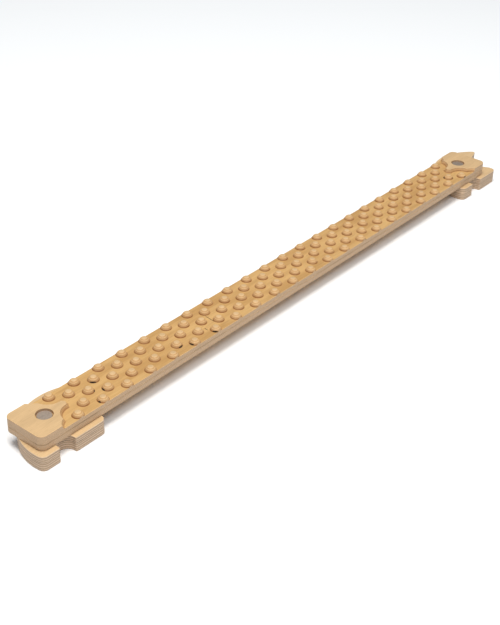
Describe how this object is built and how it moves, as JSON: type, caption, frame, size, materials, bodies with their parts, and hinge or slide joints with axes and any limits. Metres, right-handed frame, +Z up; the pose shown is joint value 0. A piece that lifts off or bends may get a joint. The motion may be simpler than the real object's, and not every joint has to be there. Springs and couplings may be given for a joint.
{
  "type": "balance beam",
  "caption": "Low plywood balance beam with rounded sensory nubs milled into its walking face, on swivelling notched disc feet.",
  "frame": {"origin": "bottom centre of the whole object's box, on the floor that the rubber pads stand on", "axes": "+X along the beam from the front foot to the rear foot, +Y across the beam away from the feet's straight notched edges, +Z up out of the nubbed face"},
  "size_m": [1.5492, 0.138, 0.0613],
  "materials": {
    "milled_birch": "sanded clear oil, veneers showing on the milled slopes",
    "birch_ply": "sanded birch plywood, layered edges",
    "brushed_steel": "brushed face, dull",
    "spring_steel": "dark, oiled",
    "zinc_steel": "bright zinc",
    "bronze": "plain bearing bronze",
    "nylon": "natural white",
    "rubber_pad": "matt black"
  },
  "bodies": {
    "beam": {"beam_top_board": "milled_birch", "beam_bottom_board": "birch_ply", "front_pivot_bolt": "brushed_steel", "front_lock_nut": "zinc_steel", "front_disc_spring": "spring_steel", "front_nut_washer": "zinc_steel", "rear_pivot_bolt": "brushed_steel", "rear_lock_nut": "zinc_steel", "rear_disc_spring": "spring_steel", "rear_nut_washer": "zinc_steel"},
    "front_foot": {"front_foot_upper_plate": "birch_ply", "front_foot_lower_plate": "birch_ply", "front_foot_pads": "rubber_pad", "front_pivot_bush": "bronze", "front_slip_washer": "nylon"},
    "rear_foot": {"rear_foot_upper_plate": "birch_ply", "rear_foot_lower_plate": "birch_ply", "rear_foot_pads": "rubber_pad", "rear_pivot_bush": "bronze", "rear_slip_washer": "nylon"}
  },
  "joints": [
    {"name": "front_foot_swivel", "type": "hinge", "parent": "beam", "child": "front_foot", "pos_m": [-0.71423, -0.01, 0.0225], "axis": [0, 0, 1], "continuous": true},
    {"name": "rear_foot_swivel", "type": "hinge", "parent": "beam", "child": "rear_foot", "pos_m": [0.63177, -0.01, 0.0225], "axis": [0, 0, 1], "continuous": true}
  ]
}
